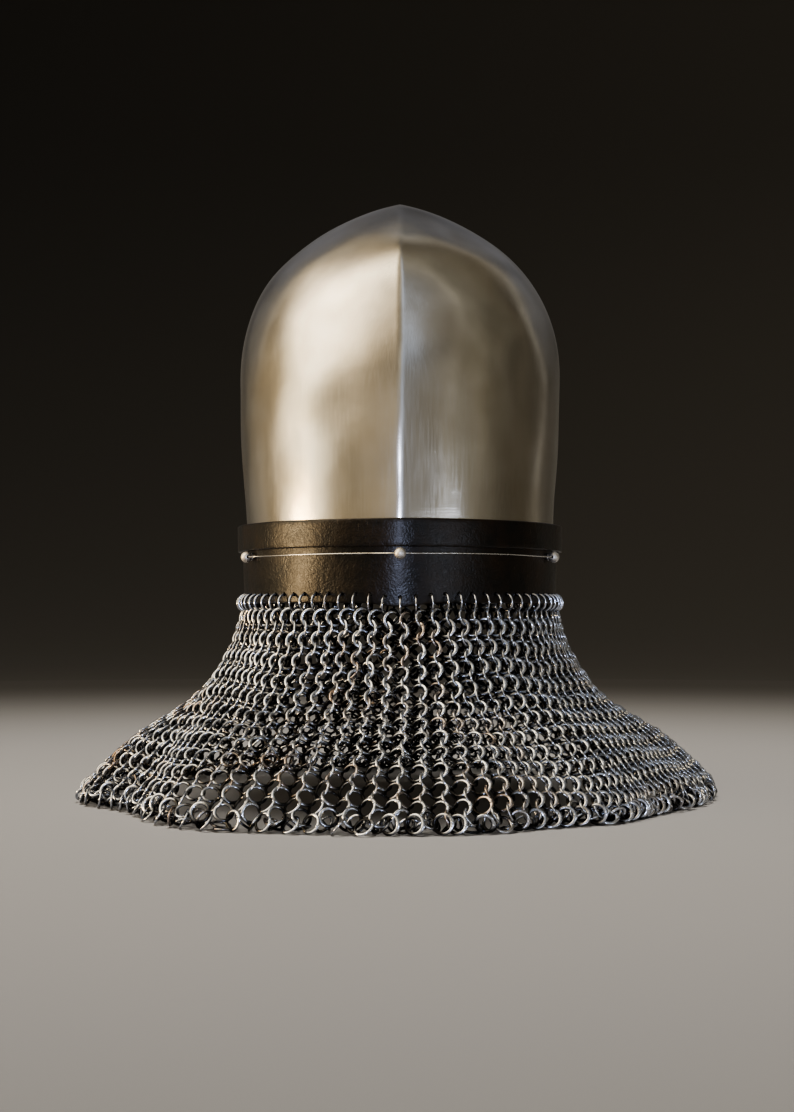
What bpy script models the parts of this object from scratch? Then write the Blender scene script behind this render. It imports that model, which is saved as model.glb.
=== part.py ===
"""A bascinet: a pointed steel skull with a keel down its middle, a leather band laced to it by a wire
through pierced studs (vervelles), and a curtain of mail that hangs from the band and spreads on the floor.

Metres, +Z up. The floor is z = 0, the face opening looks along -Y and the nape is at +Y.
Points on the skull are found from two numbers: how far round the head they lie, measured along the
skull at the height of the wire from the middle of the face (0) to the middle of the nape, and z.
"""

import math

import bmesh
import bpy
import numpy as np
from mathutils import Matrix, Vector

MM = 0.001

# Steel skull
HALF_WIDTH = 102.3 * MM
BACK_REACH = 118 * MM  # from the middle of the head to the keel at the back
FRONT_REACH = 128 * MM  # the same to the front
SKULL_HEIGHT = 243 * MM  # from the rim to the point
RIM_HEIGHT = 132 * MM  # the rim above the floor, as the spread mail holds it
APEX_BACK = 28 * MM  # the point stands this far behind the middle
STEEL_THICKNESS = 2.0 * MM

# Face opening, measured along the skull
FACE_HALF_WIDTH = 64 * MM
JAW_RADIUS = 44 * MM  # the rim sweeps up into the opening's edge
CHEEK_EDGE = 38 * MM  # straight stretch above that sweep
BROW_RISE = 28 * MM  # the brow's arch above that stretch
BROW_SQUARENESS = 2.6

# Leather band, pulled over the studs, and the thick strap sewn along its inner edge.
# Offsets across the band are measured from the skull's rim, away from the rim.
FIT_GAP = 0.4 * MM
LEATHER_THICKNESS = 2.2 * MM
STRAP_THICKNESS = 2.8 * MM
BAND_OVERHANG = 8 * MM  # past the rim, where the mail hangs
BAND_WIDTH_ON_SKULL = 41 * MM
STRAP_WIDTH = 16.4 * MM
NAPE_DIP = 2.3 * MM  # the band's lower edge dips to a point at the nape
NAPE_DIP_WIDTH = 14 * MM

# Studs (vervelles) and their wire
STUD_LINE = 20.7 * MM  # from the rim
BALL_RADIUS = 3.5 * MM
EYE_RADIUS = 1.5 * MM
SHANK_RADIUS = 1.5 * MM
PEEN_RADIUS = 3.0 * MM  # the shank's end, hammered out inside the skull
PEEN_THICKNESS = 1.2 * MM
PEEN_GAP = 0.7 * MM  # off the bowl's inner face, which is hollow
STUD_CLEARANCE = 0.3 * MM
SLOT_CLEARANCE = 0.7 * MM
STUD_SPACING = (0, 118 * MM, 222 * MM, 304 * MM)  # along the stud line, from the nape
WIRE_RADIUS = 0.6 * MM
WIRE_TAIL = 4 * MM  # past the last stud
WIRE_STRAIGHT = 4.2 * MM  # each side of a stud's middle, through its eye
WIRE_RISE_LENGTH = 12 * MM  # over which it comes up from the leather to a stud
WIRE_STEP = 8 * MM

# Mail curtain
MAIL_THICKNESS = 4.0 * MM
MAIL_GAP = 0.6 * MM
CHIN_HEIGHT = 34 * MM  # the mail's free edge above the rim, across the face opening
CHIN_SAG = 7 * MM
HEM_REACH = 203 * MM

# How finely the smooth shapes are cut into facets
SKULL_ROWS = 15
SKULL_COLUMNS = 23
BAND_STEP = 11 * MM
ARC_STEPS = 7
MAIL_ROWS = 11
FRONT_STEPS = 5

# Skull sections from below the rim to the point. Columns: height as a share of SKULL_HEIGHT;
# half width, back and front as shares of HALF_WIDTH, BACK_REACH and FRONT_REACH;
# how far the widest place has moved back, as a share of APEX_BACK; and how sharp the keel is.
SKULL_SECTIONS = (
    (-0.100, 0.944, 0.958, 0.945, 0.000, 0.100),
    (0.000, 0.952, 0.970, 0.961, 0.000, 0.100),
    (0.107, 0.959, 0.983, 0.984, 0.000, 0.105),
    (0.235, 0.969, 0.994, 1.000, 0.000, 0.110),
    (0.366, 0.991, 1.000, 0.996, 0.000, 0.118),
    (0.498, 1.000, 0.983, 0.965, 0.020, 0.128),
    (0.611, 0.991, 0.932, 0.906, 0.070, 0.140),
    (0.716, 0.934, 0.835, 0.812, 0.180, 0.158),
    (0.807, 0.813, 0.691, 0.688, 0.320, 0.180),
    (0.881, 0.631, 0.508, 0.539, 0.500, 0.205),
    (0.938, 0.414, 0.322, 0.375, 0.680, 0.225),
    (0.977, 0.197, 0.153, 0.195, 0.857, 0.240),
    (1.000, 0.000, 0.000, 0.000, 1.000, 0.250),
)

# The curtain's slope. Columns: share of the drop to the floor, share of the way out to the hem.
CURTAIN_SLOPE = (
    (0.00, 0.00),
    (0.16, 0.04),
    (0.32, 0.14),
    (0.48, 0.29),
    (0.59, 0.46),
    (0.70, 0.65),
    (0.81, 0.81),
    (0.91, 0.94),
    (1.00, 1.00),
)

# The hem's folds. Columns: bearing in degrees from the nape towards the wearer's left (+X),
# reach as a share of HEM_REACH.
HEM_FOLDS = (
    (0, 1.00),
    (15, 0.99),
    (31, 1.04),
    (47, 0.97),
    (61, 0.92),
    (75, 0.99),
    (92, 1.00),
    (112, 0.97),
    (130, 1.02),
    (150, 0.98),
    (170, 1.03),
    (190, 0.99),
    (211, 1.03),
    (232, 0.97),
    (252, 1.01),
    (268, 1.01),
    (287, 0.95),
    (305, 0.91),
    (320, 0.95),
    (334, 0.93),
    (346, 0.99),
)


def spline_through(table):
    """A function of the row number that runs smoothly through a table's rows (a natural cubic spline)."""
    rows = np.array(table, float)
    last = len(rows) - 1
    bends = np.zeros_like(rows)
    system = 4 * np.eye(last - 1) + np.eye(last - 1, k=1) + np.eye(last - 1, k=-1)
    bends[1:-1] = np.linalg.solve(system, 6 * (rows[2:] - 2 * rows[1:-1] + rows[:-2]))

    def at(row):
        low = min(int(row), last - 1)
        t = row - low
        u = 1 - t
        ends = u * rows[low] + t * rows[low + 1]
        return ends + ((u**3 - u) * bends[low] + (t**3 - t) * bends[low + 1]) / 6

    return at


skull_section = spline_through(SKULL_SECTIONS)
curtain_slope = spline_through(CURTAIN_SLOPE)
FINE_ROWS = np.linspace(0, len(SKULL_SECTIONS) - 1, 400)
FINE_HEIGHTS = np.array([skull_section(row)[0] for row in FINE_ROWS])


def skull_point(turn, z):
    """On the skull's +X half. turn runs from 0 at the middle of the face to 1 at the middle of the nape."""
    row = np.interp((z - RIM_HEIGHT) / SKULL_HEIGHT, FINE_HEIGHTS, FINE_ROWS)
    _, width, back, front, shift, keel = skull_section(row)
    half = HALF_WIDTH * max(width, 0) / (1 - keel)
    start = math.acos(keel)
    angle = start * (2 * turn - 1)
    reach = BACK_REACH * back if angle > 0 else FRONT_REACH * front
    y = APEX_BACK * shift + max(reach, 0) * math.sin(angle) / math.sin(start)
    return Vector((half * (math.cos(angle) - keel), y, z))


def outward(turn, z):
    """The skull's outward direction. On the keel it is the mitre of the two sides, so a shell stays whole there."""
    step = 1e-3
    along = skull_point(min(turn + step, 1), z) - skull_point(max(turn - step, 0), z)
    up = skull_point(turn, z + step * SKULL_HEIGHT) - skull_point(turn, z - step * SKULL_HEIGHT)
    normal = along.cross(up).normalized()
    if 0 < turn < 1:
        return normal
    middle = Vector((0, normal.y, normal.z)).normalized()
    return middle / middle.dot(normal)


TURNS = np.linspace(0, 1, 400)
GIRTH_POINTS = [skull_point(turn, RIM_HEIGHT + STUD_LINE) for turn in TURNS]
GIRTHS = np.cumsum([0] + [(b - a).length for a, b in zip(GIRTH_POINTS, GIRTH_POINTS[1:])])
NAPE = float(GIRTHS[-1])
JAW_GIRTH = FACE_HALF_WIDTH + JAW_RADIUS
JAW_TOP = RIM_HEIGHT + JAW_RADIUS
CHEEK_TOP = JAW_TOP + CHEEK_EDGE


def place(girth, z, lift=0.0):
    """The point at this distance round the skull and this height, lifted off its surface."""
    turn = float(np.interp(girth, GIRTHS, TURNS))
    return skull_point(turn, z) + lift * outward(turn, z)


def edge_station(distance, offset=0.0):
    """(girth, z) on the skull's edge, at a distance along it from the nape, moved in from the edge by offset.
    The edge runs round the rim, sweeps up at the jaw and climbs the cheek. Distances are kept on the line
    at that offset, so studs and wire are spaced along their own line."""
    rim_run = NAPE - JAW_GIRTH
    radius = JAW_RADIUS - offset
    sweep = radius * math.pi / 2
    if distance <= rim_run:
        return NAPE - distance, RIM_HEIGHT + offset
    if distance <= rim_run + sweep:
        angle = (distance - rim_run) / radius
        return JAW_GIRTH - radius * math.sin(angle), JAW_TOP - radius * math.cos(angle)
    return FACE_HALF_WIDTH + offset, JAW_TOP + distance - rim_run - sweep


def band_rails(offsets):
    """Rows of (girth, z) across a band, one row for each station from the nape to the temple."""
    rim_steps = round((NAPE - JAW_GIRTH) / BAND_STEP)
    cheek_steps = round(CHEEK_EDGE / BAND_STEP)
    rails = []
    for i in range(rim_steps):
        girth = NAPE - (NAPE - JAW_GIRTH) * i / rim_steps
        rails.append([(girth, RIM_HEIGHT + off) for off in offsets])
    for i in range(ARC_STEPS):
        angle = math.pi / 2 * i / ARC_STEPS
        rails.append(
            [
                (
                    JAW_GIRTH - (JAW_RADIUS - off) * math.sin(angle),
                    JAW_TOP - (JAW_RADIUS - off) * math.cos(angle),
                )
                for off in offsets
            ]
        )
    for i in range(cheek_steps + 1):
        z = JAW_TOP + CHEEK_EDGE * i / cheek_steps
        rails.append([(FACE_HALF_WIDTH + off, z) for off in offsets])
    return rails


def nape_dip(girth):
    return NAPE_DIP * math.exp(-(((NAPE - girth) / NAPE_DIP_WIDTH) ** 2))


def finish_object(obj, name, colour, metallic, roughness):
    obj.name = name
    material = bpy.data.materials.new(name)
    material.use_nodes = True
    shader = material.node_tree.nodes["Principled BSDF"]
    shader.inputs["Base Color"].default_value = (*colour, 1)
    shader.inputs["Metallic"].default_value = metallic
    shader.inputs["Roughness"].default_value = roughness
    obj.data.materials.clear()
    obj.data.materials.append(material)
    return obj


def new_object(name, mesh, collection):
    obj = bpy.data.objects.new(name, mesh)
    collection.objects.link(obj)
    return obj


def sheet_mesh(name, rows, closed=False):
    """An open sheet of four-sided faces through rows of points. Points that coincide are joined."""
    bm = bmesh.new()
    grid = [[bm.verts.new(point) for point in row] for row in rows]
    if closed:
        grid.append(grid[0])
    for row, following in zip(grid, grid[1:]):
        for a, b, c, d in zip(row, row[1:], following[1:], following):
            bm.faces.new((a, b, c, d))
    bmesh.ops.remove_doubles(bm, verts=bm.verts, dist=1e-6)
    mesh = bpy.data.meshes.new(name)
    bm.to_mesh(mesh)
    bm.free()
    return mesh


def add_mirror(obj):
    mirror = obj.modifiers.new("both sides", "MIRROR")
    mirror.use_clip = True
    mirror.merge_threshold = 1e-5


def add_thickness(obj, thickness, offset):
    solidify = obj.modifiers.new("wall", "SOLIDIFY")
    solidify.thickness = thickness
    solidify.offset = offset
    solidify.use_even_offset = True


def add_cut(obj, cutter, operation="DIFFERENCE"):
    boolean = obj.modifiers.new(cutter.name, "BOOLEAN")
    boolean.operation = operation
    boolean.object = cutter


def add_cutter(name, mesh, collection):
    cutter = new_object(name, mesh, collection)
    cutter.hide_render = True
    cutter.display_type = "WIRE"
    return cutter


def face_opening_cutter(collection):
    """A prism along Y whose outline follows the jaw's sweep, the cheek's edge and the arch of the brow."""
    outline = []
    for i in range(1, ARC_STEPS + 1):
        angle = math.pi / 2 * i / ARC_STEPS
        outline.append(
            (JAW_GIRTH - JAW_RADIUS * math.sin(angle), JAW_TOP - JAW_RADIUS * math.cos(angle))
        )
    for i in range(ARC_STEPS + 1):
        angle = math.pi / 2 * i / ARC_STEPS
        across = max(math.cos(angle), 0) ** (2 / BROW_SQUARENESS)
        rise = math.sin(angle) ** (2 / BROW_SQUARENESS)
        outline.append((FACE_HALF_WIDTH * across, CHEEK_TOP + BROW_RISE * rise))
    right = [(place(girth, z).x, z) for girth, z in outline]
    right.insert(0, (right[0][0], 0))
    left = [(-x, z) for x, z in reversed(right[:-1])]
    near, far = -2 * FRONT_REACH, -0.15 * FRONT_REACH
    bm = bmesh.new()
    face = bm.faces.new([bm.verts.new((x, near, z)) for x, z in right + left])
    pushed = bmesh.ops.extrude_face_region(bm, geom=[face])["geom"]
    moved = [v for v in pushed if isinstance(v, bmesh.types.BMVert)]
    bmesh.ops.translate(bm, verts=moved, vec=(0, far - near, 0))
    bmesh.ops.recalc_face_normals(bm, faces=bm.faces)
    mesh = bpy.data.meshes.new("face_opening")
    bm.to_mesh(mesh)
    bm.free()
    return add_cutter("face_opening", mesh, collection)


def stud_frames():
    """(name, matrix) of each stud: its origin on the skull's outer face, +Z outward, +X along the wire."""
    frames = []
    for name, distance in zip(("nape", "side", "cheek", "temple"), STUD_SPACING):
        girth, z = edge_station(distance, STUD_LINE)
        reach = 2 * MM
        before = edge_station(distance - reach, STUD_LINE) if distance else (girth, z)
        after = edge_station(distance + reach, STUD_LINE)
        turn = float(np.interp(girth, GIRTHS, TURNS))
        up = outward(turn, z).normalized()
        along = place(*after) - place(*before)
        if not distance:
            along = Vector((1, 0, 0))
        along = (along - along.dot(up) * up).normalized()
        axes = Matrix((along, up.cross(along), up)).transposed().to_4x4()
        frame = Matrix.Translation(place(girth, z)) @ axes
        if distance:
            flip = Matrix.Scale(-1, 4, (1, 0, 0))
            turned = flip @ frame @ Matrix.Scale(-1, 4, (0, 1, 0))
            frames += [(f"{name}_left", frame), (f"{name}_right", turned)]
        else:
            frames.append((name, frame))
    return frames


def cylinder(bm, radius, bottom, top, sides=12, matrix=None):
    matrix = matrix or Matrix.Identity(4)
    bmesh.ops.create_cone(
        bm,
        cap_ends=True,
        segments=sides,
        radius1=radius,
        radius2=radius,
        depth=top - bottom,
        matrix=matrix @ Matrix.Translation((0, 0, (top + bottom) / 2)),
    )


def shank_cutter(name, radius, frames, collection):
    """One short cylinder on each stud's axis, through the steel and the leather."""
    reach = STEEL_THICKNESS + LEATHER_THICKNESS + STRAP_THICKNESS
    bm = bmesh.new()
    for _, frame in frames:
        cylinder(bm, radius, -reach, reach, matrix=frame)
    bmesh.ops.recalc_face_normals(bm, faces=bm.faces)
    mesh = bpy.data.meshes.new(name)
    bm.to_mesh(mesh)
    bm.free()
    return add_cutter(name, mesh, collection)


def skull(collection, cutters):
    """The steel bowl: half of its outer face as a sheet, mirrored, thickened inwards and cut open."""
    rim_row = float(np.interp(0, FINE_HEIGHTS, FINE_ROWS))
    rows = []
    for i in range(SKULL_ROWS + 1):
        row = rim_row + (len(SKULL_SECTIONS) - 1 - rim_row) * i / SKULL_ROWS
        z = RIM_HEIGHT + SKULL_HEIGHT * float(skull_section(row)[0])
        rows.append([skull_point(j / SKULL_COLUMNS, z) for j in range(SKULL_COLUMNS + 1)])
    obj = new_object("skull", sheet_mesh("skull", rows), collection)
    obj.data.shade_smooth()
    add_mirror(obj)
    add_thickness(obj, STEEL_THICKNESS, -1)
    for cutter in cutters:
        add_cut(obj, cutter)
    return finish_object(obj, "skull", (0.62, 0.60, 0.57), 1.0, 0.28)


def band_sheet(name, offsets, lift, collection, lower_edge_dips=False):
    rows = []
    for rail in band_rails(offsets):
        row = []
        for i, (girth, z) in enumerate(rail):
            if lower_edge_dips and i == 0 and z <= RIM_HEIGHT:
                z -= nape_dip(girth)
            row.append(place(girth, z, lift))
        rows.append(row)
    obj = new_object(name, sheet_mesh(name, rows), collection)
    obj.data.shade_smooth()
    add_mirror(obj)
    return obj


LEATHER_LIFT = FIT_GAP + LEATHER_THICKNESS
STRAP_LIFT = LEATHER_LIFT + FIT_GAP + STRAP_THICKNESS
BALL_LIFT = LEATHER_LIFT + STUD_CLEARANCE + BALL_RADIUS


def leather_band(collection, cutter):
    """The leather that holds the mail: over the studs, past the rim below, and up both cheeks."""
    middle = BAND_WIDTH_ON_SKULL - STRAP_WIDTH
    offsets = (-BAND_OVERHANG, 0, middle / 2, middle, BAND_WIDTH_ON_SKULL)
    obj = band_sheet("leather_band", offsets, LEATHER_LIFT, collection, lower_edge_dips=True)
    add_thickness(obj, LEATHER_THICKNESS, -1)
    add_cut(obj, cutter)
    return finish_object(obj, "leather_band", (0.10, 0.07, 0.045), 0.0, 0.5)


def upper_strap(collection):
    """The thick strap over the band's inner edge. Its lower edge stands just above the studs."""
    low = BAND_WIDTH_ON_SKULL - STRAP_WIDTH
    offsets = (low, (low + BAND_WIDTH_ON_SKULL) / 2, BAND_WIDTH_ON_SKULL)
    obj = band_sheet("upper_strap", offsets, STRAP_LIFT, collection)
    add_thickness(obj, STRAP_THICKNESS, -1)
    return finish_object(obj, "upper_strap", (0.11, 0.075, 0.05), 0.0, 0.5)


def stud_mesh():
    """A ball pierced for the wire, on a shank that runs through leather and steel to a hammered end."""
    inner = -STEEL_THICKNESS - PEEN_GAP
    ball = bmesh.new()
    bmesh.ops.create_uvsphere(
        ball,
        u_segments=12,
        v_segments=8,
        radius=BALL_RADIUS,
        matrix=Matrix.Translation((0, 0, BALL_LIFT)),
    )
    shank = bmesh.new()
    cylinder(shank, SHANK_RADIUS, inner - PEEN_THICKNESS / 2, BALL_LIFT - 0.75 * BALL_RADIUS, sides=10)
    peen = bmesh.new()
    cylinder(peen, PEEN_RADIUS, inner - PEEN_THICKNESS, inner, sides=10)
    eye = bmesh.new()
    across = Matrix.Translation((0, 0, BALL_LIFT)) @ Matrix.Rotation(math.pi / 2, 4, "Y")
    cylinder(eye, EYE_RADIUS, -2 * BALL_RADIUS, 2 * BALL_RADIUS, sides=10, matrix=across)
    pieces = []
    for name, bm in (("ball", ball), ("shank", shank), ("peen", peen), ("eye", eye)):
        mesh = bpy.data.meshes.new(name)
        bmesh.ops.recalc_face_normals(bm, faces=bm.faces)
        bm.to_mesh(mesh)
        bm.free()
        pieces.append(new_object(name, mesh, bpy.context.scene.collection))
    ball_object = pieces[0]
    for piece, operation in zip(pieces[1:], ("UNION", "UNION", "DIFFERENCE")):
        add_cut(ball_object, piece, operation)
    bpy.context.view_layer.update()
    graph = bpy.context.evaluated_depsgraph_get()
    whole = bpy.data.meshes.new_from_object(ball_object.evaluated_get(graph))
    whole.name = "vervelle"
    for piece in pieces:
        bpy.data.objects.remove(piece)
    return whole


def studs(collection, frames):
    mesh = stud_mesh()
    for name, frame in frames:
        obj = new_object(f"vervelle_{name}", mesh, collection)
        obj.matrix_world = frame
    return finish_object(obj, obj.name, (0.68, 0.67, 0.65), 1.0, 0.3)


def wire_lift(distance):
    """The wire's height over the skull: close along the leather, and up through the eye of each stud."""
    low = LEATHER_LIFT + STUD_CLEARANCE + WIRE_RADIUS
    nearest = min(abs(distance - at) for at in STUD_SPACING)
    share = min(max((nearest - WIRE_STRAIGHT) / WIRE_RISE_LENGTH, 0), 1)
    return BALL_LIFT + (low - BALL_LIFT) * share * share * (3 - 2 * share)


def wire_half(frames):
    """The wire's points on the +X half, from the nape outwards. It runs straight through each stud's eye."""
    eyes = [frame for name, frame in frames if not name.endswith("right")]
    points = []
    for frame, at, following in zip(eyes, STUD_SPACING, (*STUD_SPACING[1:], None)):
        for side in (-1, 1):
            if at or side > 0:
                points.append(frame @ Vector((side * WIRE_STRAIGHT, 0, BALL_LIFT)))
        if following is None:
            points.append(frame @ Vector((WIRE_STRAIGHT + WIRE_TAIL, 0, BALL_LIFT)))
            continue
        start, stop = at + WIRE_STRAIGHT, following - WIRE_STRAIGHT
        count = round((stop - start) / WIRE_STEP)
        for i in range(1, count):
            distance = start + (stop - start) * i / count
            points.append(place(*edge_station(distance, STUD_LINE), wire_lift(distance)))
    return points


def lacing_wire(collection, frames):
    """One wire through all the studs, from temple to temple round the nape."""
    half = wire_half(frames)
    points = [Vector((-p.x, p.y, p.z)) for p in reversed(half)] + half
    curve = bpy.data.curves.new("lacing_wire", "CURVE")
    curve.dimensions = "3D"
    curve.bevel_depth = WIRE_RADIUS
    curve.bevel_resolution = 1
    curve.use_fill_caps = True
    spline = curve.splines.new("POLY")
    spline.points.add(len(points) - 1)
    for target, point in zip(spline.points, points):
        target.co = (*point, 1)
    obj = new_object("lacing_wire", curve, collection)
    return finish_object(obj, "lacing_wire", (0.72, 0.71, 0.70), 1.0, 0.25)


def hem_reach(bearing):
    """How far out the hem lies at a bearing in degrees, smooth through the folds and round the loop."""
    table = np.array(HEM_FOLDS, float)
    count = len(table)
    after = int(np.searchsorted(table[:, 0], bearing % 360, side="right"))
    picks = [table[(after + k) % count] for k in (-2, -1, 0, 1)]
    turns = [(after + k) // count * 360 for k in (-2, -1, 0, 1)]
    angles = [pick[0] + turn for pick, turn in zip(picks, turns)]
    a, b, c, d = (pick[1] for pick in picks)
    t = (bearing % 360 - angles[1]) / (angles[2] - angles[1])
    slope_b = (c - a) * (angles[2] - angles[1]) / (angles[2] - angles[0])
    slope_c = (d - b) * (angles[2] - angles[1]) / (angles[3] - angles[1])
    rest = (1 - t) ** 2 * (b * (1 + 2 * t) + t * slope_b)
    return HEM_REACH * (rest + t * t * (c * (3 - 2 * t) + (t - 1) * slope_c))


MAIL_LIFT = FIT_GAP + LEATHER_THICKNESS / 2
CURTAIN_TOP = RIM_HEIGHT - BAND_OVERHANG - MAIL_GAP
CURTAIN_LENGTH = 158 * MM  # down the slope, from the band to the floor


def curtain_columns():
    """(girth, top z) of each column of the curtain's +X half, from the nape to the middle of the chin:
    under the band, up round the jaw beside it, and along the free edge across the face."""
    rim_steps = round((NAPE - JAW_GIRTH) / BAND_STEP)
    radius = JAW_RADIUS + BAND_OVERHANG + MAIL_GAP
    free_top = RIM_HEIGHT + CHIN_HEIGHT
    free_angle = math.acos((JAW_TOP - free_top) / radius)
    columns = []
    for i in range(rim_steps):
        girth = NAPE - (NAPE - JAW_GIRTH) * i / rim_steps
        columns.append((girth, CURTAIN_TOP - nape_dip(girth)))
    for i in range(ARC_STEPS + 1):
        angle = free_angle * i / ARC_STEPS
        columns.append((JAW_GIRTH - radius * math.sin(angle), JAW_TOP - radius * math.cos(angle)))
    chin_edge = columns[-1][0]
    for i in range(1, FRONT_STEPS + 1):
        share = 1 - i / FRONT_STEPS
        columns.append((chin_edge * share, free_top - CHIN_SAG * (1 - share * share)))
    return columns


def curtain_point(side, girth, top, share):
    """A point down one column: first along the skull's own line, then out along the slope to the hem."""
    straight = max(top - CURTAIN_TOP, 0)
    down = share * (straight + CURTAIN_LENGTH)
    if down < straight:
        point = place(girth, top - down, MAIL_LIFT)
        return Vector((side * point.x, point.y, point.z))
    start = min(top, CURTAIN_TOP)
    upper = place(girth, start, MAIL_LIFT)
    upper.x *= side
    bearing = math.degrees(math.atan2(upper.x, upper.y))
    reach = hem_reach(bearing)
    hem = Vector((reach * math.sin(math.radians(bearing)), reach * math.cos(math.radians(bearing)), 0))
    row = (down - straight) / CURTAIN_LENGTH * (len(CURTAIN_SLOPE) - 1)
    drop, out = curtain_slope(row)
    return Vector((*(upper.xy + (hem.xy - upper.xy) * out), start * (1 - drop)))


def mail_curtain(collection, cutters):
    """The curtain of mail as one wall with the real one's thickness, trimmed flat where it meets the floor."""
    half = curtain_columns()
    columns = [(1, *column) for column in half] + [(-1, *column) for column in reversed(half[1:-1])]
    past_floor = 1 + MAIL_THICKNESS / CURTAIN_LENGTH
    rows = []
    for side, girth, top in columns:
        row = [curtain_point(side, girth, top, i / MAIL_ROWS) for i in range(MAIL_ROWS + 1)]
        row[-1] = row[-2] + (row[-1] - row[-2]) * (1 + MAIL_ROWS * (past_floor - 1))
        rows.append(row)
    obj = new_object("mail_curtain", sheet_mesh("mail_curtain", rows, closed=True), collection)
    obj.data.shade_smooth()
    add_thickness(obj, MAIL_THICKNESS, 0)
    under = bmesh.new()
    bmesh.ops.create_cube(under, size=1)
    bmesh.ops.scale(under, vec=(4 * HEM_REACH, 4 * HEM_REACH, HEM_REACH), verts=under.verts)
    bmesh.ops.translate(under, vec=(0, 0, -HEM_REACH / 2), verts=under.verts)
    mesh = bpy.data.meshes.new("under_floor")
    under.to_mesh(mesh)
    under.free()
    add_cut(obj, add_cutter("under_floor", mesh, cutters))
    return finish_object(obj, "mail_curtain", (0.30, 0.29, 0.28), 1.0, 0.4)


def main():
    for obj in list(bpy.data.objects):
        bpy.data.objects.remove(obj)
    helmet = bpy.data.collections.new("bascinet")
    cutters = bpy.data.collections.new("cutters")
    for collection in (helmet, cutters):
        bpy.context.scene.collection.children.link(collection)
    frames = stud_frames()
    skull_holes = shank_cutter("skull_holes", SHANK_RADIUS + STUD_CLEARANCE, frames, cutters)
    slots = shank_cutter("band_holes", SHANK_RADIUS + SLOT_CLEARANCE, frames, cutters)
    skull(helmet, (face_opening_cutter(cutters), skull_holes))
    leather_band(helmet, slots)
    upper_strap(helmet)
    studs(helmet, frames)
    lacing_wire(helmet, frames)
    mail_curtain(helmet, cutters)


main()
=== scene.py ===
import math

import bmesh
import bpy
import numpy as np
from mathutils import Matrix, Vector


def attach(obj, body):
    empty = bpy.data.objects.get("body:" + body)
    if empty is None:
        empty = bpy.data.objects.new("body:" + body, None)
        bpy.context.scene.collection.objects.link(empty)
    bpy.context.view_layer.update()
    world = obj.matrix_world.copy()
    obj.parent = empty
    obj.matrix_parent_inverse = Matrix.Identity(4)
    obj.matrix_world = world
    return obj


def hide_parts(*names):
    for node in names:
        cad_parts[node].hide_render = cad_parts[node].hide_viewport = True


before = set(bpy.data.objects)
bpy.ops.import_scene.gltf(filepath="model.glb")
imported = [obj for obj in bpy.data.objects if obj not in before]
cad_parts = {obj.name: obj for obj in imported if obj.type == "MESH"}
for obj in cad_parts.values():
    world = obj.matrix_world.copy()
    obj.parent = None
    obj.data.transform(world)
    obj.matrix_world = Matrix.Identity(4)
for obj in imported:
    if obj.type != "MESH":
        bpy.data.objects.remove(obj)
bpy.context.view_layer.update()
print("frame loaded")

mm = 0.001
rng = np.random.default_rng(14)


# the helmet's own sizes, the same as in the CAD part

head = {
    "halfWidth": 102.3 * mm,
    "backReach": 118 * mm,
    "frontReach": 128 * mm,
    "height": 243 * mm,
    "rim": 132 * mm,
    "apexBack": 28 * mm,
    "steel": 2.0 * mm,
    # height, half width, back, front, shift of the widest place, keel
    "sections": (
        (-0.100, 0.944, 0.958, 0.945, 0.000, 0.100),
        (0.000, 0.952, 0.970, 0.961, 0.000, 0.100),
        (0.107, 0.959, 0.983, 0.984, 0.000, 0.105),
        (0.235, 0.969, 0.994, 1.000, 0.000, 0.110),
        (0.366, 0.991, 1.000, 0.996, 0.000, 0.118),
        (0.498, 1.000, 0.983, 0.965, 0.020, 0.128),
        (0.611, 0.991, 0.932, 0.906, 0.070, 0.140),
        (0.716, 0.934, 0.835, 0.812, 0.180, 0.158),
        (0.807, 0.813, 0.691, 0.688, 0.320, 0.180),
        (0.881, 0.631, 0.508, 0.539, 0.500, 0.205),
        (0.938, 0.414, 0.322, 0.375, 0.680, 0.225),
        (0.977, 0.197, 0.153, 0.195, 0.857, 0.240),
        (1.000, 0.000, 0.000, 0.000, 1.000, 0.250),
    ),
}

face = {
    "halfWidth": 64 * mm,
    "jawRadius": 44 * mm,
    "cheekEdge": 38 * mm,
    "browRise": 28 * mm,
    "browSquareness": 2.6,
}

band = {
    "fitGap": 0.4 * mm,
    "thickness": 2.2 * mm,
    "strapThickness": 2.8 * mm,
    "overhang": 8 * mm,
    "onSkull": 41 * mm,
    "strapWidth": 16.4 * mm,
    "napeDip": 2.3 * mm,
    "napeDipWidth": 14 * mm,
    "edgeRounding": 0.7 * mm,
    "sag": 0.35 * mm,
    "keelRounding": 9 * mm,
}

stud = {
    "line": 20.7 * mm,
    "ball": 3.5 * mm,
    "eye": 0.95 * mm,
    "shank": 1.5 * mm,
    "clearance": 0.3 * mm,
    "spacing": (0, 118 * mm, 222 * mm, 304 * mm),
    "wireStraight": 4.2 * mm,
    "wireRise": 12 * mm,
    "wireTail": 4 * mm,
    "wireRadius": 0.45 * mm,
}

curtain = {
    "gap": 0.6 * mm,
    "length": 158 * mm,
    "reach": 203 * mm,
    "chinHeight": 34 * mm,
    "chinSag": 7 * mm,
    "slope": (
        (0.00, 0.00), (0.16, 0.04), (0.32, 0.14), (0.48, 0.29), (0.59, 0.46),
        (0.70, 0.65), (0.81, 0.81), (0.91, 0.94), (1.00, 1.00),
    ),
    "folds": (
        (0, 1.00), (15, 0.99), (31, 1.04), (47, 0.97), (61, 0.92), (75, 0.99), (92, 1.00),
        (112, 0.97), (130, 1.02), (150, 0.98), (170, 1.03), (190, 0.99), (211, 1.03),
        (232, 0.97), (252, 1.01), (268, 1.01), (287, 0.95), (305, 0.91), (320, 0.95),
        (334, 0.93), (346, 0.99),
    ),
}


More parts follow.
